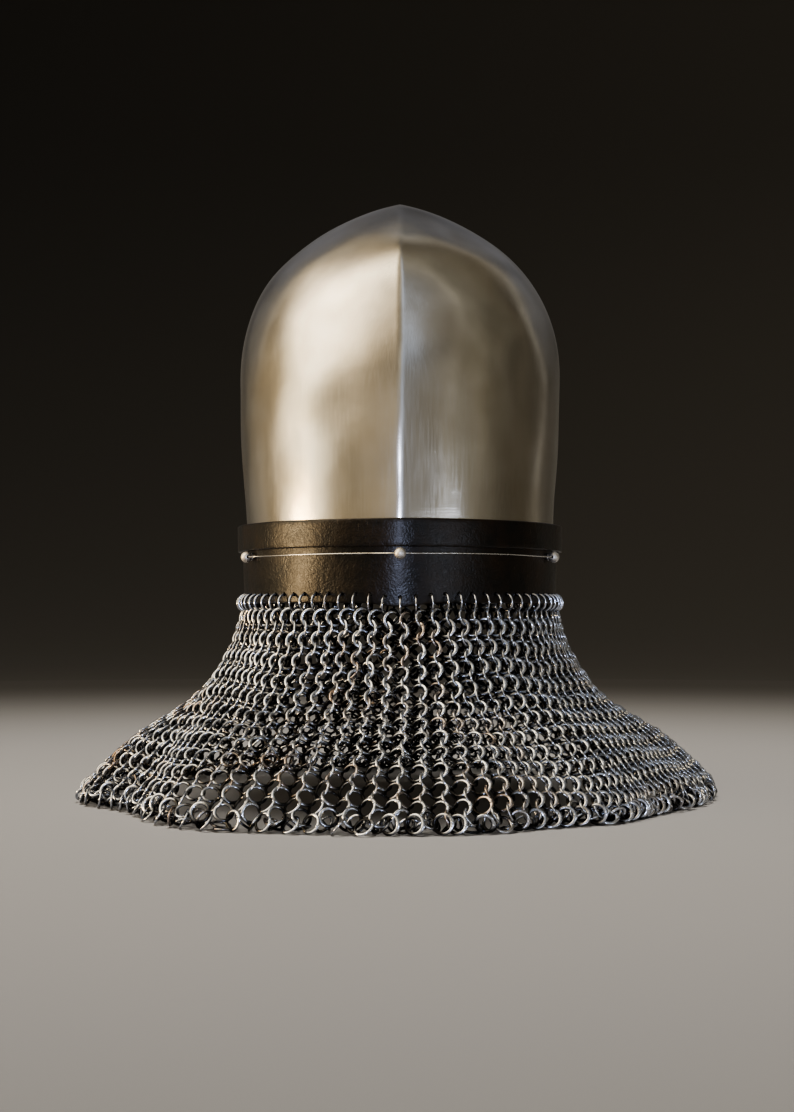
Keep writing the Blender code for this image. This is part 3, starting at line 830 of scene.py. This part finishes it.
def buildMail():
    rows = mailRows()
    sets = []
    hemStart = len(rows) - len(mail["turnedUnder"]) - mail["looseRows"]
    for index, (places, s, side) in enumerate(rows):
        count = len(places)
        loose = min(max(index - hemStart + 1, 0) / mail["looseRows"], 1)
        jitter = 0.16 + 0.7 * loose
        v = places + rng.normal(0, jitter * 0.9 * mm, count)
        drift = 0.9 * mm * (np.sin(v * 61 + index * 0.35) + 0.6 * np.sin(v * 143 + 2.1 + index * 0.2))
        down = s + rng.normal(0, jitter * 0.7 * mm, count) + drift * min(max((s - 10 * mm) / (30 * mm), 0), 1)
        if s < slopeLength:
            down = np.minimum(down, slopeLength - 3.5 * mm)
            point, outward, slope, along = curtainFrame(v, down)
        else:
            point, outward, slope, along = floorFrame(v, down - slopeLength)
        bulge = mail["bulge"] * np.sin(v * 88 + down * 60) * min(max(s / (60 * mm), 0), 1)
        point = point + outward * (bulge + rng.normal(0, jitter * 0.35 * mm, count))[:, None]
        lean = np.radians(mail["lean"] + rng.normal(0, mail["leanSpread"] + 14 * loose, count)) * side
        across = rotated(along, slope, -lean)
        normal = rotated(outward, slope, -lean)
        tip = np.radians(rng.normal(0, 4 + 16 * loose, count))
        slopeTipped, normal = rotated(slope, across, tip), rotated(normal, across, tip)
        radius = mail["ringRadius"] * (1 + rng.normal(0, mail["sizeSpread"], count))
        wire = mail["wireRadius"] * (1 + rng.normal(0, mail["sizeSpread"], count))
        rivet = np.full(count, np.nan)
        if side < 0:
            rivet = -np.radians(rng.normal(78, 15, count))
        lowest = point[:, 2] - radius * np.hypot(slopeTipped[:, 2], across[:, 2]) - wire
        point[:, 2] += np.maximum(0.3 * mm - lowest, 0)
        tint = np.clip(rng.beta(2, 3, count) + 0.25 * np.sin(v * 23 + index * 0.7), 0, 1)
        sets.append((point, normal, slopeTipped, across, outward, radius, wire, rivet, tint, np.mod(v, loop)))
    whole = [np.concatenate([s[i] for s in sets]) for i in range(10)]
    print("mail rings", len(whole[0]))
    sectors = (
        ("mailNape", 0.875, 1.125), ("mailLeft", 0.125, 0.375), ("mailChin", 0.375, 0.625), ("mailRight", 0.625, 0.875),
    )
    made = []
    for name, low, high in sectors:
        share = whole[9] / loop
        inside = (share >= low) & (share < high) if high <= 1 else (share >= low) | (share < high - 1)
        chosen = [w[inside] for w in whole[:9]]
        parts = [ringArrays(*chosen)]
        riveted = ~np.isnan(chosen[7])
        parts.append(rivetArrays(*[w[riveted] for w in chosen]))
        made.append(joined(name, parts))
    return made


def buildHangers():
    centres, normals, downs, acrosses, outwards = [], [], [], [], []
    for side, girth, z, across in hangerStations():
        point, outward, down, along = stationFrame(side, girth, z, across, leatherLift - band["thickness"] / 2)
        centres.append(point + down * (hanger["radius"] - 0.2 * mm) + outward * 0.5 * mm)
        normals.append(along)
        downs.append(down)
        acrosses.append(outward)
        outwards.append(outward)
    count = len(centres)
    normals, downs, acrosses, outwards = (np.array(a) for a in (normals, downs, acrosses, outwards))
    swing = np.radians(rng.normal(0, 5, count))
    normals, acrosses = rotated(normals, downs, swing), rotated(acrosses, downs, swing)
    tilt = np.radians(rng.normal(0, 3, count))
    downs, acrosses = rotated(downs, normals, tilt), rotated(acrosses, normals, tilt)
    radius = hanger["radius"] * (1 + rng.normal(0, 0.02, count))
    wire = np.full(count, hanger["wire"])
    rivet = np.full(count, np.nan)
    parts = [ringArrays(np.array(centres), normals, downs, acrosses, outwards, radius, wire, rivet, rng.beta(2, 4, count))]
    return joined("hangerRings", parts)


def linear(colour):
    parts = [int(colour[i:i + 2], 16) / 255 for i in (1, 3, 5)]
    return tuple(p / 12.92 if p <= 0.04045 else ((p + 0.055) / 1.055) ** 2.4 for p in parts) + (1.0,)


def node(tree, kind, inputs=None, **settings):
    # a node given as an input is linked from its first live output
    made = tree.nodes.new("ShaderNode" + kind)
    for key, value in settings.items():
        setattr(made, key, value)
    for key, value in (inputs or {}).items():
        if isinstance(value, bpy.types.Node):
            value = next(output for output in value.outputs if output.enabled)
        if isinstance(value, bpy.types.NodeSocket):
            tree.links.new(value, made.inputs[key])
        else:
            made.inputs[key].default_value = value
    return made


def newMaterial(name):
    material = bpy.data.materials.new(name)
    material.use_nodes = True
    material.node_tree.nodes.clear()
    return material, material.node_tree, node(material.node_tree, "TexCoord").outputs["Object"]


def finishMaterial(tree, inputs):
    node(tree, "OutputMaterial", {"Surface": node(tree, "BsdfPrincipled", inputs)})


def perMm(size):
    # the texture scale whose features are this many millimetres across
    return 1000 / size


def layered(tree, layers):
    # one height from (texture, depth in mm) layers
    height = 0.0
    for texture, depth in layers:
        height = node(tree, "Math", {0: texture, 1: depth * mm, 2: height}, operation="MULTIPLY_ADD")
    return node(tree, "Bump", {"Height": height, "Strength": 1.0, "Distance": 1.0})


# Mild steel, raised with a hammer, then ground and satin polished by hand:
# broad soft highlights that wander over the hammered surface, fine scratches round it and a few small pits.
skullFinish = {
    "colour": "#cac6bf",
    "smoky": "#b6afa2",
    "cloud": 40,
    "roughness": (0.13, 0.27),
    "dents": (40, 0.26),
    "smallDents": (13, 0.10),
    # real scratches are about 0.1 mm wide; they are drawn wider so that they show
    "brushWidth": 0.8,
    "brushLength": 26,
    "brushDepth": 0.020,
    "pits": (7, 0.035),
}


def skullMaterial():
    look = skullFinish
    material, tree, at = newMaterial("satinSteel")
    broad = node(tree, "TexNoise", {"Vector": at, "Scale": perMm(look["dents"][0]), "Detail": 1.5, "Roughness": 0.4})
    small = node(tree, "TexNoise", {"Vector": at, "Scale": perMm(look["smallDents"][0]), "Detail": 1.0, "Roughness": 0.4})
    cloud = node(tree, "TexNoise", {"Vector": at, "Scale": perMm(look["cloud"]), "Detail": 2.5, "Roughness": 0.5})
    flat = node(tree, "Mapping", {"Vector": at, "Scale": (1, 1, look["brushWidth"] / look["brushLength"])})
    lines = node(tree, "TexNoise", {"Vector": flat, "Scale": perMm(look["brushWidth"]), "Detail": 3.0, "Roughness": 0.6})
    tall = node(tree, "Mapping", {"Vector": at, "Scale": (0.02, 0.02, 1)})
    crossing = node(tree, "TexNoise", {"Vector": tall, "Scale": perMm(0.5), "Detail": 2.0})
    cells = node(tree, "TexVoronoi", {"Vector": at, "Scale": perMm(look["pits"][0])})
    pits = node(tree, "MapRange", {0: cells, 1: 0.0, 2: 0.05, 3: 1.0, 4: 0.0})
    smoke = node(tree, "MapRange", {0: cloud, 1: 0.4, 2: 0.72})
    body = node(tree, "Mix", {0: smoke, 6: linear(look["colour"]), 7: linear(look["smoky"])}, data_type="RGBA")
    worn = node(tree, "Mix", {0: 0.6, 2: cloud, 3: lines})
    low, high = look["roughness"]
    finishMaterial(tree, {
        "Base Color": body,
        "Metallic": 1.0,
        "Roughness": node(tree, "MapRange", {0: worn, 1: 0.3, 2: 0.7, 3: low, 4: high}),
        "Normal": layered(tree, (
            (broad, look["dents"][1]), (small, look["smallDents"][1]), (lines, look["brushDepth"]),
            (crossing, look["brushDepth"] / 2), (pits, -look["pits"][1]),
        )),
    })
    return material


# Vegetable-tanned cowhide, dyed black-brown, waxed and handled:
# nearly black, brown where light rakes it, a low waxy sheen broken by the grain, and paler rubs and nicks.
leatherFinish = {
    "colour": "#0d0907",
    "brown": "#33220f",
    "rub": "#5a4833",
    "roughness": (0.26, 0.44),
    "shine": 0.32,
    "wax": 0.08,
    # real grain is about 0.5 mm across; it is drawn coarser so that it shows
    "grain": (1.3, 0.09),
    "creases": (3.2, 0.20),
    "cloud": (20, 0.45),
    "scratches": (0.6, 14),
}


def leatherMaterial(name, seed):
    look = leatherFinish
    material, tree, at = newMaterial(name)
    moved = node(tree, "Mapping", {"Vector": at, "Location": (seed, 0, 0)})
    cloud = node(tree, "TexNoise", {"Vector": moved, "Scale": perMm(look["cloud"][0]), "Detail": 4.0, "Roughness": 0.6})
    crease = node(tree, "TexNoise", {"Vector": moved, "Scale": perMm(look["creases"][0]), "Detail": 3.0, "Roughness": 0.65})
    cells = node(tree, "TexVoronoi", {"Vector": moved, "Scale": perMm(look["grain"][0])})
    width, patch = look["scratches"]
    slanted = node(tree, "Mapping", {"Vector": moved, "Rotation": (0.5, 0.9, 0), "Scale": (1.0, 0.09, 0.09)})
    lines = node(tree, "TexNoise", {"Vector": slanted, "Scale": perMm(width), "Detail": 2.0})
    zones = node(tree, "TexNoise", {"Vector": moved, "Scale": perMm(patch), "Detail": 2.0})
    thin = node(tree, "MapRange", {0: lines, 1: 0.68, 2: 0.73})
    where = node(tree, "MapRange", {0: zones, 1: 0.50, 2: 0.62})
    scratches = node(tree, "Math", {0: thin, 1: where}, operation="MULTIPLY")
    browned = node(tree, "MapRange", {0: cloud, 1: 0.38, 2: 0.68})
    body = node(tree, "Mix", {0: browned, 6: linear(look["colour"]), 7: linear(look["brown"])}, data_type="RGBA")
    rubbed = node(tree, "Mix", {0: scratches, 6: body, 7: linear(look["rub"])}, data_type="RGBA")
    waxed = node(tree, "Mix", {0: 0.5, 2: cloud, 3: crease})
    low, high = look["roughness"]
    finishMaterial(tree, {
        "Base Color": rubbed,
        "Specular IOR Level": look["shine"],
        "Coat Weight": look["wax"],
        "Coat Roughness": 0.28,
        "Roughness": node(tree, "MapRange", {0: waxed, 1: 0.3, 2: 0.7, 3: low, 4: high}),
        "Normal": layered(tree, (
            (cells, look["grain"][1]), (crease, look["creases"][1]), (cloud, look["cloud"][1]), (scratches, -0.06),
        )),
    })
    return material


# Mild steel rings, flattened, closed with small rivets, tumbled clean and oiled:
# grey with a blue cast and orange-brown where old oil has dried.
# Each ring also gets painted shade: it is painted darker towards its inner side, nearly black there, and keeps the
# plain grey along its outer curve.
mailFinish = {
    "colour": "#c3c8d1",
    "browned": "#a38a72",
    # the colour of the painted shade on the rings' inner sides
    "dark": "#585452",
    "inner": "#151311",
    "roughness": (0.12, 0.25),
    "blotch": 3,
    "area": 60,
    # the stains thin out towards the wearer's right, over these millimetres from the middle
    "stainEnds": (-90, -20),
    "grain": (0.8, 0.02),
}


def mailMaterial():
    look = mailFinish
    material, tree, at = newMaterial("mailSteel")
    tint = node(tree, "Attribute", attribute_name="ringTint").outputs["Fac"]
    # the depth towards each ring's inner side, which drives the painted shade
    paintedShadeDepth = node(tree, "Attribute", attribute_name="ringPaintedShade").outputs["Fac"]
    blotch = node(tree, "TexNoise", {"Vector": at, "Scale": perMm(look["blotch"]), "Detail": 3.0, "Roughness": 0.6})
    area = node(tree, "TexNoise", {"Vector": at, "Scale": perMm(look["area"]), "Detail": 2.0})
    grain = node(tree, "TexNoise", {"Vector": at, "Scale": perMm(look["grain"][0]), "Detail": 2.0})
    ring = node(tree, "MapRange", {0: tint, 1: 0.4, 2: 0.85})
    zone = node(tree, "MapRange", {0: area, 1: 0.42, 2: 0.62, 3: 0.15, 4: 1.0})
    place = node(tree, "SeparateXYZ", {0: at}).outputs[0]
    start, full = look["stainEnds"]
    fading = node(tree, "MapRange", {0: place, 1: start * mm, 2: full * mm, 3: 0.25, 4: 1.0})
    here = node(tree, "Math", {0: zone, 1: fading}, operation="MULTIPLY")
    oiled = node(tree, "Math", {0: ring, 1: here}, operation="MULTIPLY")
    stained = node(tree, "MapRange", {0: blotch, 1: 0.52, 2: 0.75, 3: 0.0, 4: 0.7})
    # painted shade: darker towards each ring's inner side
    inner = node(tree, "MapRange", {0: paintedShadeDepth, 1: 0.12, 2: 0.62, 3: 0.0, 4: 0.97})
    body = node(tree, "Mix", {0: oiled, 6: linear(look["colour"]), 7: linear(look["browned"])}, data_type="RGBA")
    spotted = node(tree, "Mix", {0: stained, 6: body, 7: linear(look["dark"])}, data_type="RGBA")
    low, high = look["roughness"]
    finishMaterial(tree, {
        "Base Color": node(tree, "Mix", {0: inner, 6: spotted, 7: linear(look["inner"])}, data_type="RGBA"),
        "Metallic": 1.0,
        "Roughness": node(tree, "MapRange", {0: blotch, 1: 0.3, 2: 0.7, 3: low, 4: high}),
        "Normal": layered(tree, ((grain, look["grain"][1]),)),
    })
    return material


# Steel rod turned to a ball and filed smooth: pale, softly matt.
# Drawn steel wire: bright, with one thin highlight all along it.
smallSteel = {
    "stud": {"colour": "#d9d5cf", "roughness": (0.42, 0.56), "grain": (0.7, 0.02)},
    "wire": {"colour": "#d6d4d1", "roughness": (0.18, 0.30), "grain": (2.5, 0.004)},
}


def smallSteelMaterial(name):
    look = smallSteel[name]
    material, tree, at = newMaterial(name + "Steel")
    grain = node(tree, "TexNoise", {"Vector": at, "Scale": perMm(look["grain"][0]), "Detail": 3.0, "Roughness": 0.6})
    low, high = look["roughness"]
    finishMaterial(tree, {
        "Base Color": linear(look["colour"]),
        "Metallic": 1.0,
        "Roughness": node(tree, "MapRange", {0: grain, 1: 0.3, 2: 0.7, 3: low, 4: high}),
        "Normal": layered(tree, ((grain, look["grain"][1]),)),
    })
    return material


def dress(obj, material, slot, *nodes):
    obj.data.materials.clear()
    obj.data.materials.append(material)
    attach(obj, "root")
    if nodes:
        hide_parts(*nodes)


dress(buildSkull(), skullMaterial(), "skull", "skull")
print("skull built")
dress(buildLeather(), leatherMaterial("bandHide", 0.0), "leather_band", "leather_band")
dress(buildStrap(), leatherMaterial("strapHide", 0.7), "upper_strap", "upper_strap")
print("leather built")
frames = studFrames()
studSteel = smallSteelMaterial("stud")
for obj, nodeName in buildStuds(frames):
    dress(obj, studSteel, "vervelle", nodeName)
dress(buildWire(frames), smallSteelMaterial("wire"), "lacing_wire", "lacing_wire")
print("studs and wire built")
mailSteel = mailMaterial()
mailPieces = buildMail()
for obj in mailPieces:
    dress(obj, mailSteel, "mail_curtain")
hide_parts("mail_curtain")
dress(buildHangers(), mailSteel, "mail_curtain")
print("mail built")


studio = {
    "paper": "#c7c5c2",
    # the paper's colour far off, a painted shade
    "paintedFarShade": "#4b4946",
    "flat": 2.0,
    "cove": 1.3,
    "wallTop": 2.6,
    # the room that the steel mirrors: degrees round it from behind the camera, towards the warm side, and its light
    "room": (
        (-180, (0.13, 0.12, 0.11)), (-134, (0.14, 0.13, 0.11)), (-123, (0.27, 0.25, 0.21)), (-113, (0.11, 0.095, 0.07)),
        (-95, (0.11, 0.095, 0.07)), (-65, (0.21, 0.19, 0.145)), (-47, (0.27, 0.25, 0.20)), (-42, (0.44, 0.41, 0.34)),
        (-36, (0.27, 0.25, 0.21)), (-16, (0.25, 0.24, 0.22)), (-10, (0.60, 0.67, 0.80)), (-2, (0.64, 0.70, 0.82)),
        (6, (0.46, 0.42, 0.34)), (34, (0.42, 0.345, 0.235)), (56, (0.64, 0.525, 0.35)), (80, (2.5, 2.2, 1.62)),
        (98, (1.8, 1.52, 1.06)), (107, (0.80, 0.65, 0.44)), (114, (0.38, 0.31, 0.21)), (180, (0.17, 0.15, 0.12)),
    ),
    "lean": 24,
    "patches": (3.4, 0.62, 1.38),
    "behindLow": (0.105, 0.095, 0.078, 1),
    "behindHigh": (0.165, 0.168, 0.185, 1),
    "edge": (0.34, 0.325, 0.29),
    "keyGlow": (2.9, 2.45, 1.8),
    "lights": (
        # name, place, size across and up, watts, colour, seen in the steel
        ("warmStrip", (1.00, 0.18, 0.09), (0.22, 0.14), 5.0, "#ffd9a2", True),
        ("coolPatch", (0.04, 1.60, 0.10), (0.15, 0.16), 7.0, "#cbd7fa", True),
        ("sideStrip", (-0.85, 1.00, 0.05), (0.50, 0.07), 1.3, "#dfe8fa", True),
        ("paperLamp", (0.03, 0.02, 1.95), (0.7, 0.7), 25, "#fff9f2", False),
    ),
    "aim": (0, 0, 0.12),
}


def buildFloor():
    bm = bmesh.new()
    bmesh.ops.create_circle(bm, cap_ends=True, segments=96, radius=studio["flat"])
    mesh = bpy.data.meshes.new("paperFloor")
    bm.to_mesh(mesh)
    bm.free()
    return link("paperFloor", mesh)


def buildCove():
    # the paper curves up all round, far enough off that no edge shows
    angles = np.linspace(0, math.pi / 2, 20)
    reach = np.append(studio["flat"] + studio["cove"] * np.sin(angles), studio["flat"] + studio["cove"])
    z = np.append(studio["cove"] * (1 - np.cos(angles)), studio["wallTop"])
    turn = 2 * math.pi * np.arange(96)[:, None] / 96
    points = np.stack([reach * np.cos(turn), reach * np.sin(turn), z + 0 * turn], -1)
    return link("paperCove", arrayMesh("paperCove", points.reshape(-1, 3), gridQuads(96, len(z), closed=True)))


# painted shade: the paper is pale where the helmet stands and painted darker far off, in place of the light falling off
# there
paper, paperTree, paperAt = newMaterial("backdropPaper")
away = node(paperTree, "VectorMath", {0: paperAt}, operation="LENGTH")
far = node(paperTree, "MapRange", {0: away, 1: 0.45, 2: 1.8}, interpolation_type="SMOOTHSTEP")
tone = node(paperTree, "Mix", {0: far, 6: linear(studio["paper"]), 7: linear(studio["paintedFarShade"])}, data_type="RGBA")
finishMaterial(paperTree, {"Base Color": tone, "Roughness": 0.9})
cove = buildCove()
cove.visible_glossy = False
for stagePiece in (buildFloor(), cove):
    stagePiece.data.materials.append(paper)

world = bpy.data.worlds.new("studioAir")
world.use_nodes = True
bpy.context.scene.world = world
worldTree = world.node_tree
worldTree.nodes.clear()
direction = node(worldTree, "TexCoord").outputs["Generated"]
axes = node(worldTree, "SeparateXYZ", {0: direction})
bearing = node(worldTree, "Math", {0: axes.outputs[0], 1: axes.outputs[1]}, operation="ARCTAN2")
leaning = node(
    worldTree, "Math", {0: axes.outputs[2], 1: math.radians(studio["lean"]), 2: bearing}, operation="MULTIPLY_ADD"
)
walls = node(worldTree, "ValToRGB", {0: node(worldTree, "MapRange", {0: leaning, 1: -math.pi, 2: math.pi})})
stops = walls.color_ramp.elements
for stop, (_, light) in ((stops[0], studio["room"][0]), (stops[1], studio["room"][-1])):
    stop.color = (*light, 1)
for degrees, light in studio["room"][1:-1]:
    stops.new((degrees + 180) / 360).color = (*light, 1)
size, low, high = studio["patches"]
patches = node(worldTree, "TexNoise", {"Vector": direction, "Scale": size, "Detail": 2.0, "Roughness": 0.5})
uneven = node(worldTree, "MapRange", {0: patches, 1: 0.3, 2: 0.7, 3: low, 4: high})
room = node(worldTree, "VectorMath", {0: walls, "Scale": uneven}, operation="SCALE")
# behind the helmet the room is dark, with a paler edge
forward = node(worldTree, "VectorMath", {0: direction, 1: (0, 0.955, -0.295)}, operation="DOT_PRODUCT")
crisp = node(worldTree, "MapRange", {0: forward, 1: -0.625, 2: -0.60})
soft = node(worldTree, "MapRange", {0: forward, 1: -0.86, 2: -0.42})
glow = node(worldTree, "MapRange", {0: forward, 1: -0.60, 2: -0.47, 3: 1.0, 4: 0.0})
height = node(worldTree, "MapRange", {0: axes.outputs[2], 1: 0.1, 2: 0.6})
upper = node(worldTree, "MapRange", {0: height, 3: 0.35, 4: 1.0})
coolSide = node(worldTree, "MapRange", {0: axes.outputs[0], 1: 0.3, 2: -0.3})
sharp = node(worldTree, "Math", {0: height, 1: coolSide}, operation="MAXIMUM")
inFront = node(worldTree, "Mix", {0: sharp, 2: soft, 3: crisp})
edge = node(worldTree, "Math", {0: glow, 1: upper}, operation="MULTIPLY")
edged = node(worldTree, "VectorMath", {0: studio["edge"], 1: edge, 2: room}, operation="MULTIPLY_ADD")
# a broad soft key light, high on the warm side
towardsKey = node(worldTree, "VectorMath", {0: direction, 1: (0.68, 0.25, 0.689)}, operation="DOT_PRODUCT")
nearKey = node(worldTree, "MapRange", {0: towardsKey, 1: 0.6, 2: 1.0}, interpolation_type="SMOOTHSTEP")
key = node(worldTree, "Math", {0: nearKey, 1: 4.5}, operation="POWER")
lit = node(worldTree, "VectorMath", {0: studio["keyGlow"], 1: key, 2: edged}, operation="MULTIPLY_ADD")
dark = node(worldTree, "Mix", {0: height, 6: studio["behindLow"], 7: studio["behindHigh"]}, data_type="RGBA")
behind = node(worldTree, "VectorMath", {0: dark, "Scale": uneven}, operation="SCALE")
air = node(worldTree, "Mix", {0: inFront, 6: behind, 7: lit}, data_type="RGBA")
node(worldTree, "OutputWorld", {"Surface": node(worldTree, "Background", {"Color": air})})
world.cycles_visibility.diffuse = False

for name, spot, (across, up), watts, colour, seen in studio["lights"]:
    lamp = bpy.data.lights.new(name, "AREA")
    lamp.shape = "RECTANGLE"
    lamp.size, lamp.size_y = across, up
    lamp.energy = watts
    lamp.color = linear(colour)[:3]
    lampObject = bpy.data.objects.new(name, lamp)
    bpy.context.scene.collection.objects.link(lampObject)
    lampObject.location = spot
    lampObject.rotation_euler = (Vector(spot) - Vector(studio["aim"])).to_track_quat("Z", "Y").to_euler()
    lampObject.visible_glossy = seen
    lampObject.visible_camera = False
    lampObject.visible_diffuse = not seen

# level, at the photographer's height, with the lens shifted up so that upright lines stay upright
camera = {"place": (0.0019, 1.110, 0.118), "shiftUp": 0.0513, "lens": 55.7}
cameraData = bpy.data.cameras.new("photoView")
cameraData.lens = camera["lens"]
cameraData.sensor_width = 36
cameraData.shift_y = camera["shiftUp"]
cameraObject = bpy.data.objects.new("photoView", cameraData)
bpy.context.scene.collection.objects.link(cameraObject)
cameraObject.location = camera["place"]
cameraObject.rotation_euler = (math.radians(90), 0, math.radians(180))
bpy.context.scene.camera = cameraObject
bpy.context.scene.view_settings.view_transform = "AgX"
bpy.context.scene.view_settings.look = "AgX - Medium High Contrast"
